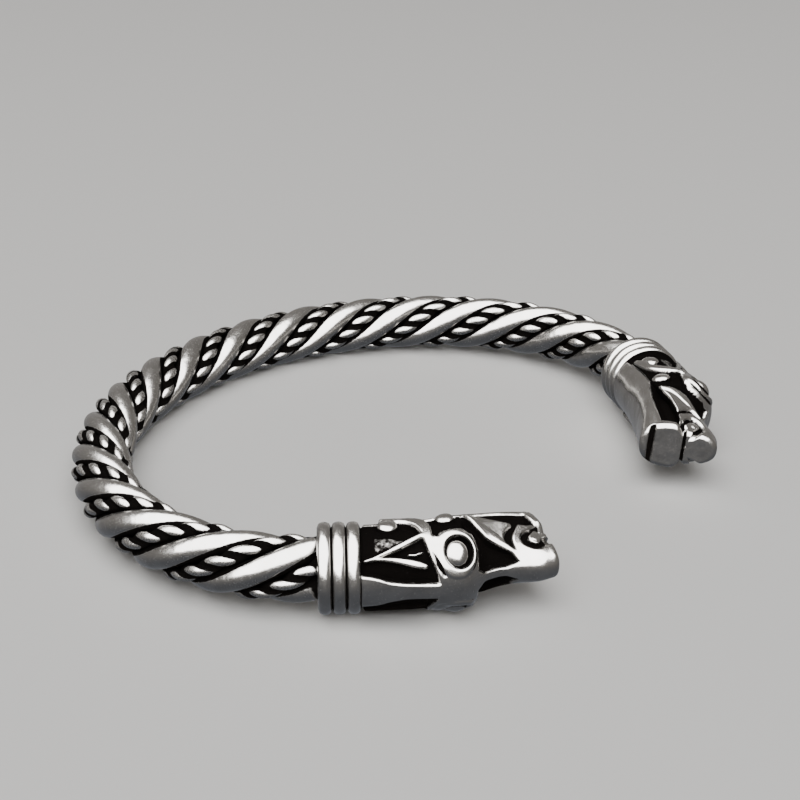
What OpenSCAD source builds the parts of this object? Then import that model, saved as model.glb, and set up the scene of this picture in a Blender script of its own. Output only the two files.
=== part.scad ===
// Open arm ring of twisted silver rods and ropes, with two cast animal heads.
// It lies flat on its side. The gap between the heads faces -Y and +Z is up.

/* [Ring] */
// Length of the twisted cable between the two collars, along its middle
cable_len = 133; // [125:1:145]
// Bend radius at the middle of the back
back_r = 41; // [38:1:60]
// Bend radius halfway from the back to a collar
side_r = 33.5; // [30:0.5:40]
// Bend radius where the cable meets a collar
shoulder_r = 19.5; // [16:0.5:26]

/* [Cable] */
// Diameter of one thick rod
rod_d = 2.6; // [2.4:0.05:2.6]
// Diameter of the whole twist over its rods
cable_d = 6.6; // [6.6:0.1:7]
// Length in which a rod makes one full turn
lead = 24.8; // [24:0.1:30]
// Place of the first rod at the middle of the back, turned up from outward
first_rod = 87; // [0:1:120]
// Diameter of a rope over its two wires
rope_d = 1.5; // [1.2:0.05:1.5]
// How far a rope lies below the crowns of the rods
rope_sunk = 0; // [0:0.05:0.2]
// Length in which the two wires of a rope make one full turn
ply_lead = 4.8; // [4:0.2:6]

/* [Heads] */
// Length of a head from the back of its collar to the nose
head_len = 22.8; // [22.4:0.1:24]
// Bend radius of a head's own length, towards the wrist
head_bend_r = 54; // [50:1:120]
// Diameter of a collar over its rings
collar_d = 9; // [8.8:0.1:9.6]
// Length of a collar
collar_len = 4.2; // [3.9:0.1:4.4]
// Depth of the socket that takes the end of the cable
socket_depth = 2.4; // [2:0.1:2.8]
// Turn of the left head about its own length
left_turn = -6; // [-20:1:20]
// Turn of the right head about its own length
right_turn = -6; // [-20:1:20]
// Diameter of the ball of an eye
eye_d = 2.5; // [2:0.1:2.8]
// Diameter of a round pellet beside the neck
pellet_d = 2.2; // [1.6:0.1:2.3]
// How far the raised ornament stands over the neck
relief = 0.45; // [0.3:0.05:0.5]

/* [Hidden] */
silver = "#c9c6c0";
dark_silver = "#8f8c88";
rods = 3;
rod_sides = 10;
rod_rings_a_turn = 13;
rope_rings_a_turn = 7;
path_step = 0.5;
quarter = cable_len / 4;
half = cable_len / 2;
collar_r = collar_d / 2;
cable_r = cable_d / 2;
socket_gap = 0.12;
socket_r = cable_r + socket_gap;
// The strands end here inside a socket, short of its bottom
end_gap = 0.9;
strand_end = half + socket_depth - end_gap;
rod_arm = cable_r - rod_d / 2;
rope_arm = cable_r - rope_sunk - rope_d / 2;

// The centreline, from the middle of the back towards the right head

// Turn of the centreline, in degrees, over the length t
function heading(t) =
    let (back = 1 / back_r, side = 1 / side_r, shoulder = 1 / shoulder_r,
         a = min(t, quarter),
         b = max(0, min(t, half) - quarter))
    180 / PI * (back * a + (side - back) * a * a / (2 * quarter)
        + side * b + (shoulder - side) * b * b / (2 * quarter));

path = [for (i = 0, p = [0, 0]; i <= (half + head_len) / path_step;
             p = p + path_step * [cos(heading((i + 0.5) * path_step)), -sin(heading((i + 0.5) * path_step))],
             i = i + 1) p];

// Point of the centreline at the length t, negative towards the left head
function middle(t) =
    let (u = abs(t) / path_step, i = floor(u), p = path[i] + (u - i) * (path[i + 1] - path[i]))
    [sign(t) * p.x, p.y, 0];

// The three axes of a section: along the ring, outward and up
function along(t) = [cos(heading(abs(t))), -sign(t) * sin(heading(abs(t))), 0];
function outward(t) = [sign(t) * sin(heading(abs(t))), cos(heading(abs(t))), 0];
up = [0, 0, 1];

// Where a head starts and which way it points
head_start = middle(half);
head_turn = -heading(half);

// The ring leans on its collars in front and on its cable at the back
first_ring_y = head_start.y + collar_len / 6 * sin(head_turn);
lean = asin((collar_r - cable_r) / -first_ring_y);
rest_height = collar_r * cos(lean) + first_ring_y * sin(lean);

// Triangles of a solid that runs through rings of points, all with the same count
function ring_faces(rings, sides) = concat(
    [for (i = [0:rings - 2], j = [0:sides - 1])
        let (k = (j + 1) % sides)
        each [[i * sides + j, (i + 1) * sides + j, (i + 1) * sides + k],
              [i * sides + j, (i + 1) * sides + k, i * sides + k]]],
    [for (j = [1:sides - 2]) [0, j, j + 1]],
    [for (j = [1:sides - 2]) let (e = (rings - 1) * sides) [e, e + j + 1, e + j]]);

module sweep(rings) {
    sides = len(rings[0]);
    polyhedron(points = [for (ring = rings) each ring],
        faces = ring_faces(len(rings), sides));
}

// Ring of points round a strand at the length t. The strand winds left-handed,
// arm away from the centreline, and outline gives [distance, angle] pairs.
function strand_ring(t, arm, start, outline, spin) =
    let (a = start - 360 * t / lead,
         out = cos(a) * outward(t) + sin(a) * up,
         round = -sin(a) * outward(t) + cos(a) * up,
         slope = atan(2 * PI * arm / lead),
         across = cos(slope) * round + sin(slope) * along(t))
    [for (o = outline)
        middle(t) + arm * out + o[0] * (cos(o[1] + spin) * out + sin(o[1] + spin) * across)];

module rod(number) {
    count = ceil(2 * strand_end / lead * rod_rings_a_turn);
    outline = [for (j = [0:rod_sides - 1]) [rod_d / 2, 360 * j / rod_sides]];
    color(silver)
        sweep([for (i = [0:count])
            strand_ring(-strand_end + 2 * strand_end * i / count, rod_arm,
                first_rod + 360 / rods * number, outline, 0)]);
}

// Two wires twisted right-handed read as one bar with two lobes
module rope(number) {
    stretch = sqrt(1 + pow(2 * PI * rope_arm / lead, 2));
    turns = 2 * strand_end * stretch / ply_lead;
    count = ceil(turns * rope_rings_a_turn);
    lobe = rope_d / 2;
    waist = rope_d / 3.4;
    outline = [[lobe, -24], [lobe, 24], [waist, 90], [lobe, 156], [lobe, 204], [waist, 270]];
    color(dark_silver)
        sweep([for (i = [0:count])
            strand_ring(-strand_end + 2 * strand_end * i / count, rope_arm,
                first_rod + 360 / rods * (number + 0.5), outline, 360 * turns * i / count)]);
}

// The head, along +X from the back of its collar, outer side at +Y, up at +Z.
// Angles go round from the outer side towards +Z, and $turn rolls all of them.

// Sections of the head under its ornament: place along it, reach outward, inward and sideways
head_rows = [
    // x, outward, inward, sideways
    [3.4, 3.8, 4.2, 3.9],
    [4.6, 3.8, 4.4, 3.9],
    [8.4, 3.8, 4.5, 3.9],
    [11.2, 4.1, 4.5, 4.1],
    [13.4, 4.5, 4.5, 4.3],
    [14.6, 4.3, 4.5, 4.1],
    [15.6, 3.4, 4.5, 4.0],
    [17.2, 3.0, 4.5, 3.7],
    [19.4, 3.6, 4.6, 3.3],
    [21.2, 4.1, 4.7, 2.9],
    [head_len - 0.6, 3.9, 4.7, 2.6],
    [head_len, 3.3, 4.5, 2.3]
];
head_sides = 24;
fullness = 2.3;
inner_fullness = 3;

function row_value(x, column) = lookup(x, [for (row = head_rows) [row[0], row[column]]]);

// Distance of the smooth head's surface from its axis, f degrees round from outward
function head_reach(x, f) =
    let (inner = cos(f) < 0,
         flat_way = row_value(x, inner ? 2 : 1),
         side_way = row_value(x, 3),
         n = inner ? inner_fullness : fullness)
    pow(pow(abs(cos(f)) / flat_way, n) + pow(abs(sin(f)) / side_way, n), -1 / n);

// Turn and middle of the bent head at the place x; the collar is straight
function head_bend(x) = max(0, x - collar_len) / head_bend_r * 180 / PI;
function head_middle(x) =
    let (b = head_bend(x))
    [min(x, collar_len) + head_bend_r * sin(b), -head_bend_r * (1 - cos(b)), 0];

function on_head(x, f, lift) =
    let (r = head_reach(x, f) + lift, b = head_bend(x), a = f + $turn)
    head_middle(x) + r * cos(a) * [sin(b), cos(b), 0] + [0, 0, r * sin(a)];

// Puts its children at a place along the head, with their +Y outward
module at_place(x) {
    translate(head_middle(x))
        rotate([0, 0, -head_bend(x)])
            rotate([$turn, 0, 0])
                children();
}

// Puts its children on the skin, f degrees round, with their +Z away from the axis
module on_skin(x, f, lift) {
    at_place(x)
        rotate([f - 90, 0, 0])
            translate([0, 0, head_reach(x, f) + lift])
                children();
}

module head_body() {
    sweep([for (row = head_rows)
        [for (j = [0:head_sides - 1]) on_head(row[0], 360 * j / head_sides, 0)]]);
}

// A raised strip over the head through stations of place, angle, width and height.
// Its foot reaches root below the skin, and its top has one face or more across it.
module strip(stations, across = 1, root = 0.6) {
    last = len(stations) - 1;
    flat = [for (s = stations) [s[0], s[1] * PI / 180 * collar_r]];
    sweep([for (i = [0:last])
        let (s = stations[i],
             run = flat[min(i + 1, last)] - flat[max(i - 1, 0)],
             side = [-run.y, run.x] / norm(run) * s[2] / 2,
             dx = side.x,
             df = side.y / collar_r * 180 / PI)
        [on_head(s[0] - dx, s[1] - df, -root),
         for (k = [0:across]) let (w = 0.84 * (2 * k / across - 1))
             on_head(s[0] + w * dx, s[1] + w * df, s[3]),
         on_head(s[0] + dx, s[1] + df, -root)]]);
}

// A raised ring that follows the skin, with a flat top; oval is how much taller it is than long
module skin_ring(x, f, radius, wide, height, oval = 1, root = 0.6) {
    steps = 20;
    across = 180 / PI / head_reach(x, f);
    section = [[-0.5, -root], [-0.3, height], [0.3, height], [0.5, -root]];
    polyhedron(
        points = [for (i = [0:steps - 1], e = section)
            let (a = 360 * i / steps, r = radius + e[0] * wide)
            on_head(x + r * cos(a), f + r * sin(a) * across * oval, e[1])],
        faces = [for (i = [0:steps - 1], j = [0:3])
            let (m = (i + 1) % steps, k = (j + 1) % 4)
            each [[i * 4 + j, i * 4 + k, m * 4 + k], [i * 4 + j, m * 4 + k, m * 4 + j]]]);
}

// A pocket below an outline of places and angles, open to the outside
module pocket(outline, depth) {
    n = len(outline);
    centre = [for (k = [0, 1]) [for (p = outline) p[k]] * [for (p = outline) 1 / n]];
    polyhedron(
        points = [
            for (p = outline) on_head(p[0], p[1], 1.2),
            for (p = outline) on_head(p[0], p[1], -depth),
            on_head(centre[0], centre[1], 1.2),
            on_head(centre[0], centre[1], -depth)
        ],
        faces = [for (i = [0:n - 1])
            let (k = (i + 1) % n)
            each [[i, k, 2 * n], [n + k, n + i, 2 * n + 1], [i, n + i, k], [k, n + i, n + k]]]);
}

module collar() {
    ring_len = collar_len / 3;
    ring_r = 0.9;
    rotate([0, 90, 0])
        rotate_extrude($fn = 64)
            difference() {
                union() {
                    square([collar_r - 0.35, collar_len]);
                    for (i = [0:2])
                        translate([collar_r - ring_r, (i + 0.5) * ring_len])
                            intersection() {
                                circle(r = ring_r, $fn = 32);
                                translate([-ring_r, -ring_len / 2 + 0.08])
                                    square([3, ring_len - 0.16]);
                            }
                }
                translate([-1, -1])
                    square([socket_r + 1, socket_depth + 1]);
            }
}

// One side of the ornament; the other side is its mirror image
module side_ornament() {
    // Chevron between the collar and the brow, with its point at the collar
    strip([[4.5, 43, 0.7, relief], [7.3, 42, 0.7, relief], [10.7, 30, 0.8, relief]]);
    strip([[4.5, 44, 0.8, relief], [7.2, 59, 1, relief], [9.8, 76, 1.1, relief]]);
    // Brow band, sweeping back over the side towards the collar
    strip([[11, 10, 0.8, relief], [10.6, 38, 0.8, relief], [10.1, 62, 0.8, relief],
        [9.6, 84, 0.8, relief], [8.6, 108, 0.8, relief], [6.8, 124, 0.8, relief]]);
    // Border of the smooth inner side
    strip([[4.5, 130, 0.7, 0.15], [8.4, 129, 0.7, 0.15], [12, 128, 0.7, 0.1]]);
    // Round pellets, one before the brow band and one behind it
    for (place = [[6.8, 106], [12.5, 109]])
        on_skin(place[0], place[1], -0.7)
            sphere(d = pellet_d, $fn = 32);
    // Eye ball within its raised ring
    on_skin(12.8, 44, -0.5)
        sphere(d = eye_d, $fn = 32);
    skin_ring(12.9, 47, eye_d / 2 + 0.5, 0.8, 0.4, oval = 1.25);
    // Lip between the hollow below the eye and the side of the mouth
    strip([[14.8, 113, 0.7, 0.1], [16.4, 90, 1.1, 0.25], [17.8, 62, 0.9, 0.25], [18.8, 36, 0.8, 0.1]]);
}

// Hollows cut into one side of the head
module side_hollows() {
    // Three-cornered hollow in front of the eye, with the narrow tail that runs up to it
    pocket([[15.2, 72], [15.1, 42], [15.4, 15], [18.6, 19], [18, 38], [17, 58], [15.8, 80]], 1);
    pocket([[13.2, 108], [14, 86], [15.2, 62], [15.8, 76], [14.7, 106]], 0.7);
    // Open side of the mouth
    pocket([[13.4, 130], [15.7, 120], [17, 113], [19.3, 105], [20.9, 103], [21.6, 108],
        [21.4, 134], [20.4, 137], [18, 134], [16, 131]], 1.4);
    // The lips meet in a valley at the nose
    pocket([[21.4, 95], [head_len + 0.3, 82], [head_len + 0.3, 108]], 0.5);
    // Ring groove of the nostril
    on_skin(20.9, 64, 0)
        rotate_extrude($fn = 32)
            translate([0.95, 0])
                circle(d = 0.5, $fn = 16);
}

module other_side() {
    $turn = -$turn;
    mirror([0, 0, 1])
        children();
}

module head() {
    difference() {
        union() {
            collar();
            difference() {
                union() {
                    head_body();
                    // Smooth band along the outer side of the neck, between the two chevrons
                    strip([[4.5, 0, 3.6, relief], [7.4, 0, 2.5, relief], [11.4, 0, 2.2, relief]],
                        across = 6, root = 1);
                }
                rotate([0, 90, 0])
                    cylinder(r = socket_r, h = 3.7, $fn = 64);
            }
            side_ornament();
            other_side()
                side_ornament();
        }
        side_hollows();
        other_side()
            side_hollows();
        // Line of the mouth and the groove beside it, down the flat front
        at_place(head_len) {
            translate([-0.5, 0, -4])
                cube([1, 0.25, 8]);
            translate([-0.6, -3.8, -4])
                cube([1, 0.6, 8]);
        }
    }
}

module place_head(turn) {
    $turn = turn;
    translate(head_start)
        rotate([0, 0, head_turn])
            color(silver)
                head();
}

// The ring lies with the middle of its length and depth over the origin
function nose_reach(turn) =
    let ($turn = turn)
    min([for (row = head_rows, f = [0:15:345])
        let (p = on_head(row[0], f, 0))
        (head_start.y + p.x * sin(head_turn) + p.y * cos(head_turn)) * cos(lean) + p.z * sin(lean)]);
centre_y = (cable_r + min(nose_reach(left_turn), nose_reach(right_turn))) / 2;

module at_rest() {
    translate([0, -centre_y, rest_height])
        rotate([-lean, 0, 0])
            children();
}

at_rest() rod(0);  // rod_1
at_rest() rod(1);  // rod_2
at_rest() rod(2);  // rod_3
at_rest() rope(0);  // rope_1
at_rest() rope(1);  // rope_2
at_rest() rope(2);  // rope_3
at_rest() mirror([1, 0, 0]) place_head(left_turn);  // head_left
at_rest() place_head(right_turn);  // head_right
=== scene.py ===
# Open arm ring of twisted silver rods and ropes, with a cast animal head at each end.
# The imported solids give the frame; every shape here follows the same measures, in mm.
import math

import bpy
import numpy as np
from mathutils import Matrix, Vector


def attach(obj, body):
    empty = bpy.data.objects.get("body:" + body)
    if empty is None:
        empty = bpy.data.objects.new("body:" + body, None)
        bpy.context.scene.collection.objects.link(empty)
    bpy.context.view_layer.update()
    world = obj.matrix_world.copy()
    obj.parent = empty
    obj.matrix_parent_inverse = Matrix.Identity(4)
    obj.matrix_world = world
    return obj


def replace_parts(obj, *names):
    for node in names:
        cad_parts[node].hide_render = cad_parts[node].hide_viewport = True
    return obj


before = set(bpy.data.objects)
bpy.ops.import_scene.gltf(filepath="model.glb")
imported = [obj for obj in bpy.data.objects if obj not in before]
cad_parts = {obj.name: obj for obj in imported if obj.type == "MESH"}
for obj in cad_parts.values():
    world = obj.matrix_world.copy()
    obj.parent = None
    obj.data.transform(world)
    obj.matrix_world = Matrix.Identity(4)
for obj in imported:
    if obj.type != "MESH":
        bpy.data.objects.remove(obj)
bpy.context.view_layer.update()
mm = 0.001
farAway = 99.0                # mm, more than any distance on a head

# The ring's line, the same as the solids follow
ring = {
    "cableLength": 133.0,     # between the two collars, along the middle
    "backRadius": 41.0,       # bend at the middle of the back
    "sideRadius": 33.5,       # bend halfway from the back to a collar
    "shoulderRadius": 19.5,   # bend where the cable meets a collar
    "pathStep": 0.02,
}

cable = {
    "diameter": 6.6,          # over the rods
    "lead": 24.8,             # length of one full turn of a rod
    "firstRod": 87.0,         # degrees up from outward, at the middle of the back
    "pastCollar": 1.5,        # the strands reach this far into a socket
    "socketBlack": (-0.9, 0.1),    # past the back of a collar, from clean to black
}

headForm = {
    "length": 22.8,
    "bendRadius": 54.0,
    "collarDiameter": 9.0,
    "collarLength": 4.2,
    "socketDepth": 2.4,
    "socketGap": 0.12,
    "turn": -6.0,             # roll of each head about its own length, degrees
    "outerFullness": 2.3,     # how square the section is on its outer and inner halves
    "innerFullness": 3.0,
}

# Place along the head, then its reach outward, inward and sideways
headRows = np.array([
    (3.4, 3.8, 4.2, 3.9),
    (4.6, 3.8, 4.4, 3.9),
    (8.4, 3.8, 4.5, 3.9),
    (11.2, 4.1, 4.5, 4.1),
    (13.4, 4.5, 4.5, 4.3),
    (14.6, 4.3, 4.5, 4.1),
    (15.6, 3.4, 4.5, 4.0),
    (17.2, 3.0, 4.5, 3.7),
    (19.4, 3.6, 4.6, 3.3),
    (21.2, 4.1, 4.7, 2.9),
    (headForm["length"] - 0.6, 3.9, 4.7, 2.6),
    (headForm["length"], 3.3, 4.5, 2.3),
])

halfCable = ring["cableLength"] / 2
quarterCable = ring["cableLength"] / 4
cableRadius = cable["diameter"] / 2
collarRadius = headForm["collarDiameter"] / 2
socketRadius = cableRadius + headForm["socketGap"]


# Turn of the ring's line over the length t, in radians
def heading(t):
    back, side, shoulder = (1 / ring[key] for key in ("backRadius", "sideRadius", "shoulderRadius"))
    a = np.minimum(t, quarterCable)
    b = np.maximum(0, np.minimum(t, halfCable) - quarterCable)
    return (back * a + (side - back) * a * a / (2 * quarterCable)
            + side * b + (shoulder - side) * b * b / (2 * quarterCable))


pathLength = np.arange(0, halfCable + 8, ring["pathStep"])
stepTurn = heading(pathLength + ring["pathStep"] / 2)
pathX = np.concatenate([[0], np.cumsum(np.cos(stepTurn))])[:-1] * ring["pathStep"]
pathY = np.concatenate([[0], -np.cumsum(np.sin(stepTurn))])[:-1] * ring["pathStep"]


# Middle, direction and outward way of the ring at the lengths t, negative to the left
def ringLine(t):
    far, side = np.abs(t), np.sign(t)
    turn, zero = heading(far), np.zeros_like(t)
    middle = np.stack([side * np.interp(far, pathLength, pathX), np.interp(far, pathLength, pathY), zero], -1)
    along = np.stack([np.cos(turn), -side * np.sin(turn), zero], -1)
    outward = np.stack([side * np.sin(turn), np.cos(turn), zero], -1)
    return middle, along, outward


headStart = ringLine(np.array([halfCable]))[0][0]
headHeading = -float(heading(halfCable))
firstRingY = headStart[1] + headForm["collarLength"] / 6 * math.sin(headHeading)
lean = math.asin((collarRadius - cableRadius) / -firstRingY)
restHeight = collarRadius * math.cos(lean) + firstRingY * math.sin(lean)


# Distance of the smooth head's skin from its axis
def headReach(x, angle, innerFullness=headForm["innerFullness"]):
    outer, inner, sideways = (np.interp(x, headRows[:, 0], headRows[:, k]) for k in (1, 2, 3))
    cosine, sine = np.cos(angle), np.sin(angle)
    flatWay = np.where(cosine < 0, inner, outer)
    power = np.where(cosine < 0, innerFullness, headForm["outerFullness"])
    return ((np.abs(cosine) / flatWay) ** power + (np.abs(sine) / sideways) ** power) ** (-1 / power)


# Puts points given along and round a head into the ring's plane, for the right head
def bendHead(x, angle, reach):
    bend = np.maximum(0, x - headForm["collarLength"]) / headForm["bendRadius"]
    roll = angle + math.radians(headForm["turn"])
    ahead = (np.minimum(x, headForm["collarLength"]) + headForm["bendRadius"] * np.sin(bend)
             + reach * np.cos(roll) * np.sin(bend))
    out = -headForm["bendRadius"] * (1 - np.cos(bend)) + reach * np.cos(roll) * np.cos(bend)
    c, s = math.cos(headHeading), math.sin(headHeading)
    return np.stack([headStart[0] + ahead * c - out * s, headStart[1] + ahead * s + out * c,
                     reach * np.sin(roll)], -1)


# How far the noses reach forward once the ring lies on its collars and its back
noseX, noseAngle = np.meshgrid(headRows[:, 0], np.radians(np.arange(0, 360, 15)), indexing="ij")
nose = bendHead(noseX, noseAngle, headReach(noseX, noseAngle))
noseY = (nose[..., 1] * math.cos(lean) + nose[..., 2] * math.sin(lean)).min()
centreY = (cableRadius + noseY) / 2


# Lays points of the ring down on the floor, with the ring's middle over the origin
def layDown(points):
    c, s = math.cos(lean), math.sin(lean)
    x, y, z = np.moveaxis(points, -1, 0)
    return np.stack([x, y * c + z * s - centreY, z * c - y * s + restHeight], -1)


def softStep(low, high, value):
    t = np.clip((value - low) / (high - low), 0, 1)
    return t * t * (3 - 2 * t)


# A mesh through rings of points; its patina value is 0 on clean metal and 1 in the blackened recesses, and on
# the heads also 1 where shade is painted black underneath
def ringsMesh(name, rings, patinaAndShade, flip=False):
    count, sides = rings.shape[:2]
    i, j = np.meshgrid(np.arange(count - 1), np.arange(sides), indexing="ij")
    here, beyond, k = i * sides, (i + 1) * sides, (j + 1) % sides
    quads = np.stack([here + j, here + k, beyond + k, beyond + j], -1).reshape(-1, 4)
    if flip:
        quads = quads[:, ::-1]
    ends = [list(range(sides))[::-1], list(range((count - 1) * sides, count * sides))]
    faces = quads.tolist() + ([end[::-1] for end in ends] if flip else ends)
    mesh = bpy.data.meshes.new(name)
    mesh.from_pydata((rings.reshape(-1, 3) * mm).tolist(), [], faces)
    mesh.shade_smooth()
    mesh.attributes.new("patinaAndShade", "FLOAT", "POINT").data.foreach_set("value", patinaAndShade.astype(np.float32).ravel())
    piece = bpy.data.objects.new(name, mesh)
    bpy.context.scene.collection.objects.link(piece)
    return piece


# sRGB hex to linear red, green and blue
def hexColour(code):
    values = [int(code[k:k + 2], 16) / 255 for k in (1, 3, 5)]
    return tuple(v / 12.92 if v <= 0.04045 else ((v + 0.055) / 1.055) ** 2.4 for v in values) + (1.0,)


# Adds one node, sets its properties and its inputs; an input may be another node's socket
def addNode(tree, kind, settings=None, inputs=None):
    node = tree.nodes.new(kind)
    for key, value in (settings or {}).items():
        setattr(node, key, value)
    for key, value in (inputs or {}).items():
        if isinstance(value, bpy.types.NodeSocket):
            tree.links.new(value, node.inputs[key])
        else:
            node.inputs[key].default_value = value
    return node


# Sterling silver, cast or drawn and then polished on a wheel, with liver-of-sulphur
# black left in the recesses: a bright, slightly hazy mirror with fine wheel scratches,
# and a dull black crust that wears off the raised edges
# On the heads this black also stands for painted shade under the neck and the muzzle
silver = {
    "polished": "#918f8c",
    "worn": "#75726e",
    "black": "#141211",
    "rodRoughness": 0.2,
    "ropeRoughness": 0.24,
    "headRoughness": 0.19,
    "blackRoughness": 0.5,
    "blackGloss": 0.0,
    "scratchWidth": 0.2,      # mm, wheel marks, drawn about eight times as coarse as real
    "scratchDepth": 0.004,    # mm
    "scratchSheen": (0.7, 1.5),    # lowest and highest share of the roughness
    "waveWidth": 2.5,         # mm, the soft unevenness that hand polishing leaves
    "waveDepth": 0.12,        # mm
    "hazeWidth": 1.6,         # mm, patches that handling has dulled
    "hazeShare": 0.4,
    "stainWidth": 0.35,       # mm, ragged rim of the black
    "stainReach": 0.5,        # how far in patina the rim strays
    "blackFrom": 0.62,        # patina at which the black starts and where it is full
    "blackFull": 0.92,
    "ropeBlack": 0.05,        # how much further the black spreads on the ropes
}


def silverMaterial(name, polishRoughness, moreBlack=0.0):
    material = bpy.data.materials.new(name)
    material.use_nodes = True
    tree = material.node_tree
    tree.nodes.clear()
    place = addNode(tree, "ShaderNodeTexCoord").outputs["Object"]
    patinaAndShade = addNode(tree, "ShaderNodeAttribute", {"attribute_name": "patinaAndShade"}).outputs["Fac"]
    stainAndShade = addNode(tree, "ShaderNodeTexNoise", None, {
        "Vector": place, "Scale": 1 / (silver["stainWidth"] * mm), "Detail": 4.0, "Roughness": 0.6})
    raggedEdge = addNode(tree, "ShaderNodeMath", {"operation": "MULTIPLY_ADD"}, {
        0: stainAndShade.outputs["Fac"], 1: silver["stainReach"], 2: -silver["stainReach"] / 2})
    edged = addNode(tree, "ShaderNodeMath", {"operation": "ADD"}, {
        0: patinaAndShade, 1: raggedEdge.outputs[0]})
    black = addNode(tree, "ShaderNodeMapRange", {"interpolation_type": "SMOOTHSTEP"}, {
        "Value": edged.outputs[0], "From Min": silver["blackFrom"] - moreBlack,
        "From Max": silver["blackFull"] - moreBlack}).outputs[0]
    haze = addNode(tree, "ShaderNodeTexNoise", None, {
        "Vector": place, "Scale": 1 / (silver["hazeWidth"] * mm), "Detail": 3.0})
    hazeShare = addNode(tree, "ShaderNodeMapRange", None, {
        "Value": haze.outputs["Fac"], "From Min": 0.35, "From Max": 0.75,
        "To Max": silver["hazeShare"]}).outputs[0]
    metal = addNode(tree, "ShaderNodeMix", {"data_type": "RGBA"}, {
        0: hazeShare, 6: hexColour(silver["polished"]), 7: hexColour(silver["worn"])})
    colour = addNode(tree, "ShaderNodeMix", {"data_type": "RGBA"}, {
        0: black, 6: metal.outputs[2], 7: hexColour(silver["black"])})
    scratches = addNode(tree, "ShaderNodeTexNoise", None, {
        "Vector": place, "Scale": 1 / (silver["scratchWidth"] * mm), "Detail": 5.0, "Roughness": 0.7})
    smoothest, roughest = (polishRoughness * share for share in silver["scratchSheen"])
    sheen = addNode(tree, "ShaderNodeMapRange", None, {
        "Value": scratches.outputs["Fac"], "From Min": 0.3, "From Max": 0.7,
        "To Min": smoothest, "To Max": roughest}).outputs[0]
    roughness = addNode(tree, "ShaderNodeMix", {"data_type": "FLOAT"}, {
        0: black, 2: sheen, 3: silver["blackRoughness"]})
    waves = addNode(tree, "ShaderNodeTexNoise", None, {
        "Vector": place, "Scale": 1 / (silver["waveWidth"] * mm), "Detail": 2.0})
    waveBump = addNode(tree, "ShaderNodeBump", None, {
        "Height": waves.outputs["Fac"], "Strength": 1.0, "Distance": silver["waveDepth"] * mm})
    scratchBump = addNode(tree, "ShaderNodeBump", None, {
        "Height": scratches.outputs["Fac"], "Strength": 0.5, "Distance": silver["scratchDepth"] * mm,
        "Normal": waveBump.outputs[0]})
    metallic = addNode(tree, "ShaderNodeMapRange", None, {
        "Value": black, "To Min": 1.0, "To Max": 0.0}).outputs[0]    # the crust is no metal
    shader = addNode(tree, "ShaderNodeBsdfPrincipled", None, {
        "Base Color": colour.outputs[2], "Metallic": metallic, "Roughness": roughness.outputs[0],
        "Specular IOR Level": silver["blackGloss"], "Normal": scratchBump.outputs[0]})
    addNode(tree, "ShaderNodeOutputMaterial", None, {"Surface": shader.outputs[0]})
    return material


polishedSilver = silverMaterial("polishedSterlingRod", silver["rodRoughness"])
oxidisedSilver = silverMaterial("oxidisedSterlingRope", silver["ropeRoughness"], silver["ropeBlack"])
castSilver = silverMaterial("castSterlingHead", silver["headRoughness"])
print("materials: polished, oxidised and cast silver")


# Rings of points round one strand of the cable, which winds left-handed
def strandRings(lengths, arm, start, reach, angles, spin=0):
    middle, along, outward = (v[:, None, :] for v in ringLine(lengths))
    turn = math.radians(start) - 2 * math.pi * lengths[:, None, None] / cable["lead"]
    up = np.array([0.0, 0.0, 1.0])
    out = np.cos(turn) * outward + np.sin(turn) * up
    sideways = -np.sin(turn) * outward + np.cos(turn) * up
    slope = math.atan(2 * math.pi * arm / cable["lead"])
    across = math.cos(slope) * sideways + math.sin(slope) * along
    a = (angles[None, :] + spin)[:, :, None]
    return middle + arm * out + reach[None, :, None] * (np.cos(a) * out + np.sin(a) * across)


# Black on a strand where it goes into its socket
def socketBlack(lengths):
    return softStep(*cable["socketBlack"], np.abs(lengths) - halfCable)[:, None]


# Drawn rods, three of them, laid side by side in the twist
rodForm = {
    "count": 3,
    "diameter": 2.6,
    "sides": 48,
    "ringEvery": 0.24,        # mm
    "cleanArc": 45.0,         # degrees each side of the crown that the wheel reaches
    "blackArc": 64.0,         # degrees from which the black is full
}

strandEnd = halfCable + cable["pastCollar"]
rodArm = cableRadius - rodForm["diameter"] / 2
lengths = np.linspace(-strandEnd, strandEnd, round(2 * strandEnd / rodForm["ringEvery"]))
angles = np.linspace(0, 2 * math.pi, rodForm["sides"], endpoint=False)
reach = np.full(rodForm["sides"], rodForm["diameter"] / 2)
fromCrown = np.degrees(np.abs((angles + math.pi) % (2 * math.pi) - math.pi))
flanks = softStep(rodForm["cleanArc"], rodForm["blackArc"], fromCrown)[None, :]
for number in range(rodForm["count"]):
    start = cable["firstRod"] + 360 / rodForm["count"] * number
    rings = strandRings(lengths, rodArm, start, reach, angles)
    rod = ringsMesh(f"silver_rod_{number + 1}", layDown(rings), np.maximum(flanks, socketBlack(lengths)))
    rod.data.materials.append(polishedSilver)
    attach(rod, "root")
    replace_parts(rod, f"rod_{number + 1}")
print("rods:", rodForm["count"])

# Each rope is two round wires twisted right-handed, lying in the groove between two rods
ropeForm = {
    "solidDiameter": 1.5,     # of the plain solid, whose turns the wires keep to
    "diameter": 1.7,
    "proud": 0.05,            # how far it stands over the rods
    "plyLead": 4.8,           # length of one full turn of its two wires
    "wireRadius": 0.58,
    "sides": 36,
    "ringsPerTurn": 34,
    "cleanReach": (0.98, 0.8),     # shares of a wire's reach, from clean to black
    "cleanDepth": (0.16, 0.48),    # mm below the rods' crowns, from clean to black
}

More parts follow.
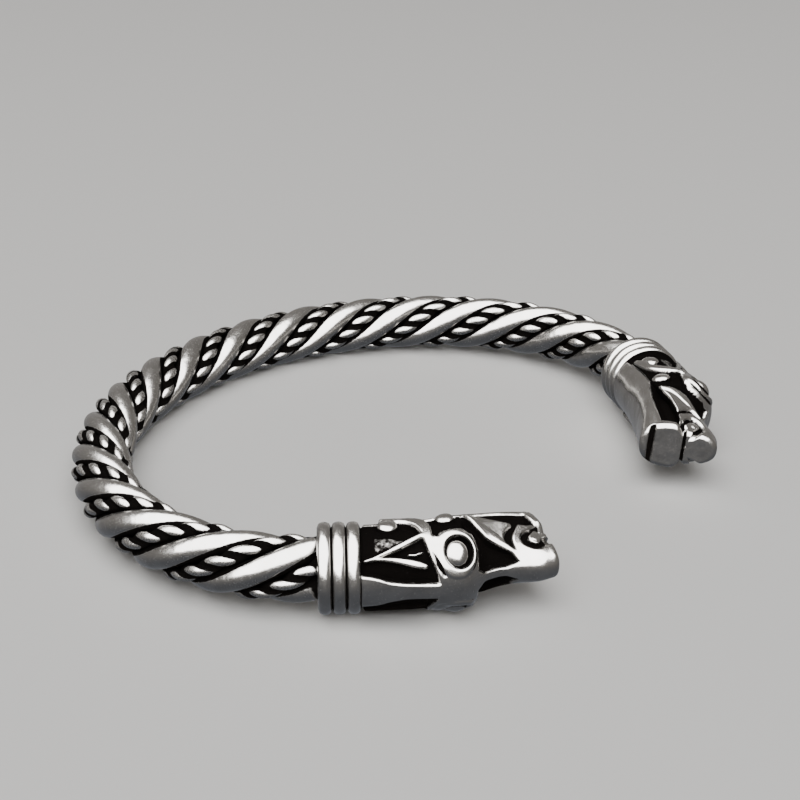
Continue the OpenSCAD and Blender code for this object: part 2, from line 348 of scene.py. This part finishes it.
ropeArm = cableRadius + ropeForm["proud"] - ropeForm["diameter"] / 2
solidArm = cableRadius - ropeForm["solidDiameter"] / 2
turns = 2 * strandEnd * math.hypot(1, 2 * math.pi * solidArm / cable["lead"]) / ropeForm["plyLead"]
lengths = np.linspace(-strandEnd, strandEnd, round(turns * ropeForm["ringsPerTurn"]))
spin = np.linspace(0, 2 * math.pi * turns, len(lengths))[:, None]
angles = np.linspace(0, 2 * math.pi, ropeForm["sides"], endpoint=False)
wireOffset = ropeForm["diameter"] / 2 - ropeForm["wireRadius"]
reach = (wireOffset * np.abs(np.cos(angles))
         + np.sqrt(ropeForm["wireRadius"] ** 2 - (wireOffset * np.sin(angles)) ** 2))
waist = softStep(*ropeForm["cleanReach"], reach / reach.max())[None, :]
middle = ringLine(lengths)[0][:, None, :]
for number in range(rodForm["count"]):
    start = cable["firstRod"] + 360 / rodForm["count"] * (number + 0.5)
    rings = strandRings(lengths, ropeArm, start, reach, angles, spin)
    sunk = softStep(*ropeForm["cleanDepth"], cableRadius - np.linalg.norm(rings - middle, axis=2))
    patinaAndShade = np.maximum(np.maximum(waist, sunk), socketBlack(lengths))
    rope = ringsMesh(f"twisted_rope_{number + 1}", layDown(rings), patinaAndShade)
    rope.data.materials.append(oxidisedSilver)
    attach(rope, "root")
    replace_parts(rope, f"rope_{number + 1}")
print("ropes:", rodForm["count"])

# The cast heads are one skin each, from inside the socket to the middle of the flat front
headSkin = {
    "columns": 320,
    "outerCrowding": 0.2,     # the columns stand closer on the outer side, which is carved
    "rowEvery": 0.087,        # mm
    "ringRadius": 0.9,        # section of a collar ring
    "ringRows": 17,
    "grooveDepth": 0.25,      # cut deeper at the sides of each ring, from this share of it on
    "grooveFrom": 0.78,
    "noseRadius": 0.65,       # rounding round the flat front
    "noseRows": 7,
    "frontRows": 34,
    "unroll": 4.2,            # radius at which angles on the skin are laid out flat
    "reliefBlur": 0.7,        # in cells of the skin, like the next three
    "skinBlur": 5,
    "recessBlur": 6,
    "wallCells": 2,
    "overFloor": 0.02,        # mm, the lowest that the skin may reach
}

# How the smooth skin is dressed: mm, and degrees from the outer side
flats = {
    "neckFullness": 2.2,      # of the inner half, which gets squarer over the muzzle
    "muzzleFrom": 11.0,
    "muzzleTo": 20.0,
    "cheekFrom": 14.8,
    "cheekTo": 16.2,
    "cheekDepth": 0.72,
    "cheekAngle": 61.0,
    "cheekHalfWidth": 48.0,
}

# The ornament is alike on both sides of a line close to the outer side
mirrorLine = {
    "neckAngle": -3.0,
    "muzzleAngle": 3.0,
    "turnsFrom": 11.0,        # mm along the head
    "turnsTo": 15.5,
}

# Heights of the ornament over the smooth skin, mm
level = {
    "eyeRing": 0.52,
    "band": 0.45,
    "surround": 0.4,          # flat ground round the eyes
    "sliver": 0.25,
    "valley": 0.25,           # between the brow and the eye
    "lip": 0.2,
    "patch": -0.258,
    "ground": -0.35,          # blackened ground beside the bands
    "groove": -0.6,           # crescent and nostril
    "hollow": -0.9,
    "mouth": -1.4,
}

# Widths of carved walls, and of the rounded shoulders of raised forms, mm
edge = {
    "wall": 0.16,
    "patchWall": 0.6,
    "valleyWall": 0.4,
    "hollowWall": 0.3,
    "mouthWall": 0.55,
    "bandShoulder": 0.34,
    "surroundShoulder": 0.45,
    "ringShoulder": 0.5,
    "lipShoulder": 0.9,
}

# Bands of the ornament: place along the head, angle from the outer side, width
bands = {
    "neckBand": [(4.0, -3, 4.2), (4.6, -3, 4.0), (5.3, -3, 3.6), (6.2, -3, 2.9), (7.2, -3, 2.45),
                 (8.5, -3, 2.1), (11.4, -3, 1.9)],
    "lowerLeg": [(4.5, 42, 0.4), (5.8, 44, 0.5), (7.2, 42, 0.75), (8.2, 39, 0.9), (9.1, 35.5, 0.95),
                 (9.9, 32, 0.8)],
    "upperLeg": [(4.5, 42, 0.4), (5.8, 48.5, 0.5), (7.05, 56, 0.75), (8.1, 63, 0.85), (9.1, 70, 0.85),
                 (9.8, 75, 0.8)],
    "sliver": [(8.5, 49, 0.1), (9.1, 47.8, 0.22), (9.75, 51, 0.1)],
    "brow": [(10.95, 22, 0.2), (10.75, 33, 0.4), (10.55, 45, 0.6), (10.4, 58, 0.8), (10.4, 72, 1.2),
             (10.3, 88, 1.55), (9.9, 102, 1.65), (9.0, 114, 1.5), (7.6, 122, 1.2), (6.4, 127, 0.9)],
    "valley": [(10.75, 47, 0.15), (10.95, 39, 0.35), (11.2, 30, 0.5), (11.6, 20, 0.25)],
    "lip": [(14.7, 122, 0.8), (15.25, 108, 1.0), (15.86, 94, 1.2), (16.68, 75, 1.5), (17.52, 59, 1.1),
            (18.6, 42, 0.9), (19.1, 30, 0.7)],
    "crescent": [(18.78, 44, 0.1), (18.6, 52, 0.35), (18.46, 60, 0.6), (18.45, 70, 0.75), (18.65, 81, 0.8),
                 (19.1, 92, 0.65), (19.75, 104, 0.35)],
    "nostril": [(21.3, 91, 0.3), (20.95, 87, 0.55), (20.45, 80, 0.75), (20.17, 70, 0.8), (20.15, 60, 0.8),
                (20.3, 51, 0.85), (20.8, 44, 0.8), (21.4, 43, 0.8), (21.9, 50, 0.7), (22.05, 59, 0.5)],
}

# Outlines of grounds and hollows: place along the head, angle from the outer side
outlines = {
    "neckGround": [(4.3, -30), (4.3, 43), (7.1, 42), (8.7, 39), (10.4, 37), (10.75, 28), (10.95, 11),
                   (11.2, 4), (11.2, -30)],
    "triangle": [(6.9, 49), (10.2, 74), (10.35, 60), (10.55, 42), (10.8, 26), (10.0, 29), (9.0, 38)],
    "panel": [(4.3, 44), (7.1, 58), (10.1, 76), (10.1, 92), (9.7, 104), (8.9, 114), (7.6, 122), (6.3, 128),
              (5.5, 137), (4.3, 137)],
    "greyPatch": [(5.35, 52), (5.3, 84), (6.6, 84), (7.9, 79), (8.5, 74), (7.0, 62)],
    "behindBrow": [(6.4, 133), (8.0, 125), (9.4, 112), (10.3, 96), (10.95, 76), (11.3, 70), (11.8, 90),
                   (11.7, 129), (9.0, 130)],
    "surround": [(11.2, -20), (11.2, 2), (10.95, 11), (10.75, 30), (10.55, 45), (10.4, 60), (10.6, 72),
                 (11.5, 78), (12.6, 81), (13.9, 80), (14.7, 68), (14.95, 50), (14.85, 19), (14.9, -20)],
    "pelletGround": [(10.95, 76), (11.5, 77), (12.6, 80), (13.9, 80), (14.9, 72), (15.1, 104), (14.6, 118),
                     (13.4, 127), (11.4, 129), (10.8, 100)],
    "hollow": [(14.6, 118), (15.0, 104), (15.4, 90), (16.1, 70), (17.1, 55), (18.3, 38), (18.8, 20), (17.7, 13),
               (16.6, 13), (15.5, 12), (14.9, 19), (15.05, 50), (14.8, 71), (13.9, 82)],
    "mouth": [(12.9, 128), (13.6, 125), (15.7, 120), (17.0, 113), (18.0, 110), (19.3, 105), (20.9, 103),
              (21.7, 107), (21.4, 135), (16.2, 135), (14.6, 132), (13.6, 131)],
}

# Round forms: place and angle of the centre, then radius along the head and round it
rounds = {
    "lowPellet": (6.85, 108, 1.1, 1.2),
    "highPellet": (12.6, 111, 1.05, 1.1),
    "eyeRing": (12.75, 46, 1.95, 2.35),
    "eyeGroove": (13.03, 46.5, 1.32, 1.46),
    "eyeBall": (12.8, 44.5, 1.2, 1.4),
    "nostrilDome": (21.18, 63, 0.64, 0.8),
}

# Domes: radius, foot and top over the skin, and how flat the top is; 2 is round
domes = {
    "lowPellet": (1.1, -0.2, 0.45, 3),
    "highPellet": (1.05, -0.2, 0.4, 3),
    "eyeBall": (1.2, -0.3, 0.75, 2),
    "nostrilDome": (0.62, -0.3, 0.1, 2),
}

# The lips meet in a valley that opens towards the flat front
noseValley = {
    "angle": 95.0,
    "from": 21.0,
    "opensOver": 1.4,
    "halfWidth": 1.5,
    "depth": 0.6,
}

# Slots across the flat front: place, half width of the bottom and of the mouth; the
# first is the slit between the lips
slots = [(0.12, 0.08, 0.22), (-3.5, 0.22, 0.4)]
slotDeep = 0.45

# Where raised forms run out, mm along the head
runOut = {
    "surround": (14.9, 13.3),
    "lip": (19.2, 17.2),
}

# The underside is worn lower. Under the neck and the muzzle it is painted black as shade, but not under the
# eyes and the nose
underside = {
    "from": (-20, -32),       # degrees from the outer side
    "to": (-120, -100),
    "wear": 0.5,              # share of the height that is gone
    "neckTo": (10.7, 10.2),   # mm along the head
    "muzzleFrom": (15.0, 15.4),
    "muzzleTo": (19.8, 17.8),
}

# What the black starts from and where it is full, mm
blackening = {
    "recess": (0.05, 0.3),    # below the mean of the skin round it
    "height": (-0.14, -0.3),  # over the smooth skin
    "wall": (0.1, 0.26),      # below the highest point beside it
    "slot": (0.05, 0.2),      # deep
    "groove": (0.18, 0.29),   # below the crowns of the collar rings
    "socket": (0.35, 0.1),    # out from the socket's wall
}


# A finer line through a few stations of place, angle and width
def curveThrough(stations, pieces=8):
    p = np.array(stations, float)
    p = np.concatenate([[2 * p[0] - p[1]], p, [2 * p[-1] - p[-2]]])
    line = []
    for a, b, c, d in zip(p[:-3], p[1:-2], p[2:-1], p[3:]):
        for t in np.arange(pieces) / pieces:
            line.append(0.5 * (2 * b + (c - a) * t + (2 * a - 5 * b + 4 * c - d) * t ** 2
                               + (3 * b - a - 3 * c + d) * t ** 3))
    return np.array(line + [p[-2]])


def flatRound(degrees):
    return np.radians(degrees) * headSkin["unroll"]


# Signed distance to a band, negative inside it
def bandDistance(x, s, name):
    line = curveThrough(bands[name])
    px, ps, width = line[:, 0], flatRound(line[:, 1]), line[:, 2]
    best = np.full(x.shape, farAway)
    for k in range(len(line) - 1):
        dx, ds = px[k + 1] - px[k], ps[k + 1] - ps[k]
        t = np.clip(((x - px[k]) * dx + (s - ps[k]) * ds) / (dx * dx + ds * ds), 0, 1)
        halfWidth = (width[k] + t * (width[k + 1] - width[k])) / 2
        best = np.minimum(best, np.hypot(x - px[k] - t * dx, s - ps[k] - t * ds) - halfWidth)
    return best


def outlineDistance(x, s, name):
    p = np.array(outlines[name], float)
    px, ps = p[:, 0], flatRound(p[:, 1])
    best, inside = np.full(x.shape, farAway), np.zeros(x.shape, bool)
    for k in range(len(p)):
        dx, ds = px[k] - px[k - 1], ps[k] - ps[k - 1]
        t = np.clip(((x - px[k - 1]) * dx + (s - ps[k - 1]) * ds) / (dx * dx + ds * ds), 0, 1)
        best = np.minimum(best, np.hypot(x - px[k - 1] - t * dx, s - ps[k - 1] - t * ds))
        crosses = (ps[k - 1] > s) != (ps[k] > s)
        inside ^= crosses & (x < px[k - 1] + (s - ps[k - 1]) * dx / (ds or 1e-9))
    return np.where(inside, -best, best)


def roundDistance(x, s, name, grow=0.0):
    place, degrees, radiusAlong, radiusRound = rounds[name]
    away = np.hypot((x - place) / (radiusAlong + grow), (s - flatRound(degrees)) / (radiusRound + grow))
    return (away - 1) * (min(radiusAlong, radiusRound) + grow)


# Takes the height to a new one wherever the distance is negative, over one carved wall
def carve(height, distance, newHeight, wall=edge["wall"]):
    return height + (newHeight - height) * softStep(wall / 2, -wall / 2, distance)


# The same with a rounded shoulder over the wall, for raised forms
def swell(height, distance, newHeight, shoulder=edge["bandShoulder"]):
    share = np.clip(-distance / shoulder, 0, 1)
    wallShare = softStep(0, edge["wall"], -distance)
    return height + (newHeight - height) * wallShare * np.sqrt(1 - (1 - share) ** 2)


# Sets a dome on the skin, wherever it stands higher than what is there
def boss(height, x, s, name):
    radius, foot, top, flatness = domes[name]
    distance = roundDistance(x, s, name)
    dome = np.sqrt(1 - (1 - np.clip(-distance / radius, 0, 1)) ** flatness)
    return np.maximum(height, np.where(distance < 0, foot + (top - foot) * dome, -farAway))


# Height of the cast ornament over the smooth skin, the black that the polishing wheel leaves in it, and painted
# shade in black under the neck and the muzzle
def headRelief(x, degrees):
    middle = (mirrorLine["neckAngle"] + (mirrorLine["muzzleAngle"] - mirrorLine["neckAngle"])
              * softStep(mirrorLine["turnsFrom"], mirrorLine["turnsTo"], x))
    s = flatRound(np.abs(degrees - middle) + middle)
    h = carve(np.zeros_like(x), x - headForm["collarLength"] - 0.25, level["ground"])
    # neck: blackened grounds, grey patch, chevron, sliver and the smooth outer band
    h = carve(h, outlineDistance(x, s, "panel"), level["ground"])
    h = carve(h, outlineDistance(x, s, "greyPatch"), level["patch"], edge["patchWall"])
    h = carve(h, outlineDistance(x, s, "neckGround"), level["ground"])
    h = carve(h, outlineDistance(x, s, "triangle"), level["ground"])
    h = carve(h, bandDistance(x, s, "sliver"), level["sliver"])
    for name in ("lowerLeg", "upperLeg", "neckBand"):
        h = swell(h, bandDistance(x, s, name), level["band"])
    h = boss(h, x, s, "lowPellet")
    # brow: flat ground round the eye, and the smooth band that rises from it to the crown
    surround = level["surround"] * softStep(*runOut["surround"], x)
    h = swell(h, outlineDistance(x, s, "surround"), surround, edge["surroundShoulder"])
    h = carve(h, outlineDistance(x, s, "behindBrow"), level["ground"])
    h = carve(h, outlineDistance(x, s, "pelletGround"), level["ground"])
    h = swell(h, bandDistance(x, s, "brow"), level["band"])
    h = carve(h, bandDistance(x, s, "valley"), level["valley"], edge["valleyWall"])
    h = boss(h, x, s, "highPellet")
    # eye: raised ring, black groove and ball
    h = swell(h, roundDistance(x, s, "eyeRing"), level["eyeRing"], edge["ringShoulder"])
    h = carve(h, roundDistance(x, s, "eyeGroove"), level["ground"])
    h = boss(h, x, s, "eyeBall")
    # muzzle: hollow before the eye, lip, crescent, mouth and nostril
    h = carve(h, outlineDistance(x, s, "hollow"), level["hollow"], edge["hollowWall"])
    lip = level["lip"] * softStep(*runOut["lip"], x)
    h = swell(h, bandDistance(x, s, "lip"), lip, edge["lipShoulder"])
    h = carve(h, bandDistance(x, s, "crescent"), level["groove"])
    h = carve(h, outlineDistance(x, s, "mouth"), level["mouth"], edge["mouthWall"])
    h = carve(h, bandDistance(x, s, "nostril"), level["groove"])
    h = boss(h, x, s, "nostrilDome")
    opening = np.clip((x - noseValley["from"]) / noseValley["opensOver"], 1e-3, 1)
    halfWidth = noseValley["halfWidth"] * opening
    fromValley = np.abs(s - flatRound(noseValley["angle"]))
    h -= noseValley["depth"] * np.clip(1 - fromValley / halfWidth, 0, 1)
    # black stays round the eye ball, round the pellets and in the valley at the brow
    roundEye = softStep(0.05, -0.05, roundDistance(x, s, "eyeGroove")) * softStep(0.5, 0.34, h)
    pellets = np.minimum(roundDistance(x, s, "lowPellet", 0.3), roundDistance(x, s, "highPellet", 0.3))
    roundPellets = softStep(0.05, -0.05, pellets) * softStep(0.25, 0.1, h)
    besideBrow = softStep(0.08, -0.08, bandDistance(x, s, "valley"))
    # painted shade: the underside of the neck and of the muzzle is painted black, and its ornament is worn
    # lower
    below = softStep(*underside["from"], degrees) * softStep(*underside["to"], degrees)
    muzzle = softStep(*underside["muzzleFrom"], x) * softStep(*underside["muzzleTo"], x)
    paintedUnderShade = below * np.maximum(softStep(*underside["neckTo"], x), muzzle)
    h -= underside["wear"] * below * np.maximum(h, 0)
    return h, np.maximum.reduce([roundEye, roundPellets, besideBrow * (1 - below), paintedUnderShade])


# Gaussian blur in cells of the skin, which closes on itself round the head
def blurred(values, sigma):
    reach = int(3 * sigma) + 1
    weights = np.exp(-0.5 * (np.arange(-reach, reach + 1) / sigma) ** 2)
    weights /= weights.sum()
    for axis, mode in ((0, "edge"), (1, "wrap")):
        padded = np.pad(values, [(reach, reach) if a == axis else (0, 0) for a in (0, 1)], mode=mode)
        values = sum(w * np.take(padded, range(k, k + values.shape[axis]), axis) for k, w in enumerate(weights))
    return values


# The highest value within so many cells
def highestNear(values, reach):
    for axis, mode in ((0, "edge"), (1, "wrap")):
        padded = np.pad(values, [(reach, reach) if a == axis else (0, 0) for a in (0, 1)], mode=mode)
        values = np.maximum.reduce([np.take(padded, range(k, k + values.shape[axis]), axis)
                                    for k in range(2 * reach + 1)])
    return values


# The smooth skin as it is dressed: flat on the cheek between eye and nose, and with the
# inner corners of the neck eased
def dressedReach(x, angle):
    neckShare = softStep(flats["muzzleTo"], flats["muzzleFrom"], x)
    fullness = headForm["innerFullness"] + (flats["neckFullness"] - headForm["innerFullness"]) * neckShare
    fromCheek = (np.abs(np.degrees(angle)) - flats["cheekAngle"]) / flats["cheekHalfWidth"]
    cheek = flats["cheekDepth"] * softStep(flats["cheekFrom"], flats["cheekTo"], x)
    return headReach(x, angle, fullness) - cheek * np.clip(1 - fromCheek ** 2, 0, 1)


def slotDepth(out):
    return slotDeep * np.maximum.reduce([softStep(mouth, bottom, np.abs(out - place))
                                         for place, bottom, mouth in slots])


def makeHead(name, left):
    length, collarLength, noseRadius = headForm["length"], headForm["collarLength"], headSkin["noseRadius"]
    share, crowding = np.linspace(-1, 1, headSkin["columns"], endpoint=False), headSkin["outerCrowding"]
    angle = math.pi * ((1 - crowding) * share + crowding * share ** 3)
    # socket, back of the collar and its three rings
    collar = [(headForm["socketDepth"], r) for r in np.linspace(0.05, socketRadius, 4)]
    collar += [(x, socketRadius) for x in np.linspace(headForm["socketDepth"], 0.1, 5)[1:]]
    collar += [(0.0, r) for r in np.linspace(socketRadius + 0.1, collarRadius - 0.6, 3)]
    ringLength, ringRadius = collarLength / 3, headSkin["ringRadius"]
    for number in range(3):
        for across in np.linspace(-1, 1, headSkin["ringRows"])[min(number, 1):]:
            dx = across * ringLength / 2
            crown = collarRadius - ringRadius + math.sqrt(ringRadius ** 2 - dx ** 2)
            groove = headSkin["grooveDepth"] * softStep(headSkin["grooveFrom"], 1, abs(across))
            collar.append(((number + 0.5) * ringLength + dx, crown - groove))
    # skin from the collar to the nose, then round on to the flat front
    skinX, skinAngle = np.meshgrid(np.arange(collarLength + 0.03, length - noseRadius, headSkin["rowEvery"]),
                                   angle, indexing="ij")
    # the relief's extra black holds the black round the eye and the pellets and the painted shade under the
    # neck and the muzzle
    relief, stainAndShade = headRelief(skinX, np.degrees(skinAngle))
    relief = blurred(relief, headSkin["reliefBlur"])
    reach = blurred(dressedReach(skinX, skinAngle), headSkin["skinBlur"]) + relief
    rows = [(np.full_like(angle, x), np.full_like(angle, r)) for x, r in collar]
    rows += list(zip(skinX, reach))
    front = [(length - noseRadius * (1 - math.sin(a)), reach[-1] - noseRadius * (1 - math.cos(a)), math.sin(a))
             for a in np.linspace(0.2, math.pi / 2, headSkin["noseRows"])]
    front += [(length, (reach[-1] - noseRadius) * share, 1.0)
              for share in np.linspace(0.97, 0.01, headSkin["frontRows"])]
    slotted = np.array([slotDepth(r * np.cos(angle)) * share for x, r, share in front])
    rows += [(x - deep, r) for (x, r, share), deep in zip(front, slotted)]
    allX, allReach = (np.array([row[k] for row in rows]) for k in (0, 1))
    points = layDown(bendHead(allX, np.broadcast_to(angle, allX.shape), allReach) * ([-1, 1, 1] if left else 1))
    points[..., 2] = np.maximum(points[..., 2], headSkin["overFloor"])
    # black in the collar's grooves and its socket, in the relief and in the slots, and painted shade in black
    # under the neck and the muzzle
    patinaAndShade = np.zeros_like(allX)
    collarX, collarReach = allX[:len(collar)], allReach[:len(collar)]
    patinaAndShade[:len(collar)] = np.where(collarX > ringLength / 2,
                                    softStep(*blackening["groove"], collarRadius - collarReach),
                                    softStep(*blackening["socket"], collarReach - socketRadius))
    patinaAndShade[len(collar):len(collar) + len(relief)] = np.maximum.reduce([
        softStep(*blackening["recess"], blurred(relief, headSkin["recessBlur"]) - relief),
        softStep(*blackening["height"], relief),
        softStep(*blackening["wall"], highestNear(relief, headSkin["wallCells"]) - relief),
        stainAndShade])
    patinaAndShade[-len(front):] = softStep(*blackening["slot"], slotted)
    head = ringsMesh(name, points, patinaAndShade, flip=left)
    head.data.materials.append(castSilver)
    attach(head, "root")
    return head


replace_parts(makeHead("cast_head_left", True), "head_left")
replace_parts(makeHead("cast_head_right", False), "head_right")
print("heads: 2")

# Studio: pale floor, soft light from above, and a large bright card for the silver to
# mirror, from the horizon on the camera's side to past overhead; metres, degrees, watts
studio = {
    "floor": "#d8d8d7",
    "floorSize": 3.0,
    "sky": "#8b8885",
    "ground": "#696c72",      # as dark as cloth; only the silver mirrors it
    "groundTo": -0.8,         # heights of the view between which ground turns to sky
    "skyFrom": 0.15,
    "worldStrength": 1.6,
    "lightDistance": 0.7,
    "lampAzimuth": -150.0,
    "lampElevation": 62.0,
    "lampSize": 0.8,
    "lampPower": 5.4,
    "cardAzimuth": -168.0,
    "cardElevation": 61.0,
    "cardWidth": 1.9,
    "cardHeight": 1.8,
    "cardPower": 210.0,
}

# Camera at the photo's angle: degrees and mm
view = {
    "azimuth": -144.022,      # from +X, counter-clockwise
    "elevation": 24.561,
    "distance": 211.01,
    "target": (6.643, -26.532, 4.0),    # from the middle of the ring's back
    "roll": 1.205,
    "lens": 80.57,
}


def aim(piece, location, target, roll=0.0):
    back = (Vector(location) - Vector(target)).normalized()
    right = Vector((0, 0, 1)).cross(back).normalized()
    up = back.cross(right)
    c, s = math.cos(math.radians(roll)), math.sin(math.radians(roll))
    turned = Matrix((c * right + s * up, -s * right + c * up, back)).transposed().to_4x4()
    turned.translation = Vector(location)
    piece.matrix_world = turned


def fromTarget(azimuth, elevation, distance, target):
    a, e = math.radians(azimuth), math.radians(elevation)
    way = Vector((math.cos(e) * math.cos(a), math.cos(e) * math.sin(a), math.sin(e)))
    return Vector(target) + distance * way


target = (Vector(view["target"]) - Vector((0, centreY, 0))) * mm
lens = bpy.data.cameras.new("camera")
lens.sensor_width = 36.0
lens.lens = view["lens"]
lens.clip_start, lens.clip_end = 0.01, 10.0
camera = bpy.data.objects.new("camera", lens)
bpy.context.scene.collection.objects.link(camera)
aim(camera, fromTarget(view["azimuth"], view["elevation"], view["distance"] * mm, target), target, view["roll"])
bpy.context.scene.camera = camera

floorMesh = bpy.data.meshes.new("floor")
side = studio["floorSize"] / 2
corners = [(-side, -side, 0), (side, -side, 0), (side, side, 0), (-side, side, 0)]
floorMesh.from_pydata(corners, [], [(0, 1, 2, 3)])
floor = bpy.data.objects.new("floor", floorMesh)
bpy.context.scene.collection.objects.link(floor)
# Plain uncoated paper, dead matt, so that it shows only the soft shadow
paper = bpy.data.materials.new("matteStudioPaper")
paper.use_nodes = True
paperInputs = paper.node_tree.nodes["Principled BSDF"].inputs
paperInputs["Base Color"].default_value = hexColour(studio["floor"])
paperInputs["Roughness"].default_value = 1.0
paperInputs["Specular IOR Level"].default_value = 0.0
floorMesh.materials.append(paper)
floor.visible_glossy = False    # the silver mirrors the darker ground in its place

world = bpy.data.worlds.new("studio")
world.use_nodes = True
way = addNode(world.node_tree, "ShaderNodeTexCoord").outputs["Generated"]
height = addNode(world.node_tree, "ShaderNodeSeparateXYZ", None, {"Vector": way}).outputs["Z"]
upwards = addNode(world.node_tree, "ShaderNodeMapRange", {"interpolation_type": "SMOOTHSTEP"}, {
    "Value": height, "From Min": studio["groundTo"], "From Max": studio["skyFrom"]}).outputs[0]
backdrop = addNode(world.node_tree, "ShaderNodeMix", {"data_type": "RGBA"}, {
    0: upwards, 6: hexColour(studio["ground"]), 7: hexColour(studio["sky"])})
world.node_tree.links.new(backdrop.outputs[2], world.node_tree.nodes["Background"].inputs["Color"])
world.node_tree.nodes["Background"].inputs["Strength"].default_value = studio["worldStrength"]
bpy.context.scene.world = world

# The lamp lights the floor and the card only shows in the metal
for name, azimuth, elevation, width, height, power in [
        ("lamp", studio["lampAzimuth"], studio["lampElevation"], studio["lampSize"], studio["lampSize"],
         studio["lampPower"]),
        ("card", studio["cardAzimuth"], studio["cardElevation"], studio["cardWidth"], studio["cardHeight"],
         studio["cardPower"])]:
    softbox = bpy.data.lights.new(name, "AREA")
    softbox.shape, softbox.size, softbox.size_y, softbox.energy = "RECTANGLE", width, height, power
    light = bpy.data.objects.new(name, softbox)
    light.visible_diffuse = name == "lamp"
    light.visible_glossy = name == "card"
    bpy.context.scene.collection.objects.link(light)
    aim(light, fromTarget(azimuth, elevation, studio["lightDistance"], target), target)
print("studio: camera, floor and lights")
